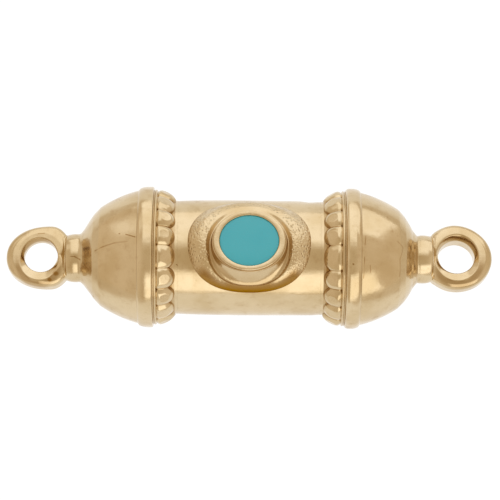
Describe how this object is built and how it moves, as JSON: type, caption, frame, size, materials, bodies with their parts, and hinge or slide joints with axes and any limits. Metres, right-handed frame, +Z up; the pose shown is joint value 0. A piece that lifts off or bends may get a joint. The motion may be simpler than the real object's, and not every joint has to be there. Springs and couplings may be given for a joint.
{
  "type": "tube spacer bead",
  "caption": "Barrel-shaped jewellery connector bead with beaded rings, domed end caps, a loop at each end and an oval enamel bezel.",
  "frame": {"origin": "middle of the footprint, on the surface that the two rims rest on", "axes": "+X along the tube, +Z up through the middle of the bezel and along the holes of the loops"},
  "size_m": [0.034, 0.0098, 0.0098],
  "materials": {
    "gold_polished": "polished pale gold plating",
    "gold_cast": "gold plating over a lightly pitted cast skin",
    "enamel": "smooth glossy turquoise enamel"
  },
  "bodies": {
    "root": {"tube_barrel": "gold_polished", "beaded_ring_left": "gold_polished", "beaded_ring_right": "gold_polished", "end_cap_left": "gold_polished", "end_cap_right": "gold_polished", "end_loop_left": "gold_polished", "end_loop_right": "gold_polished", "bezel_setting": "gold_cast", "enamel_inlay": "enamel"}
  },
  "joints": []
}
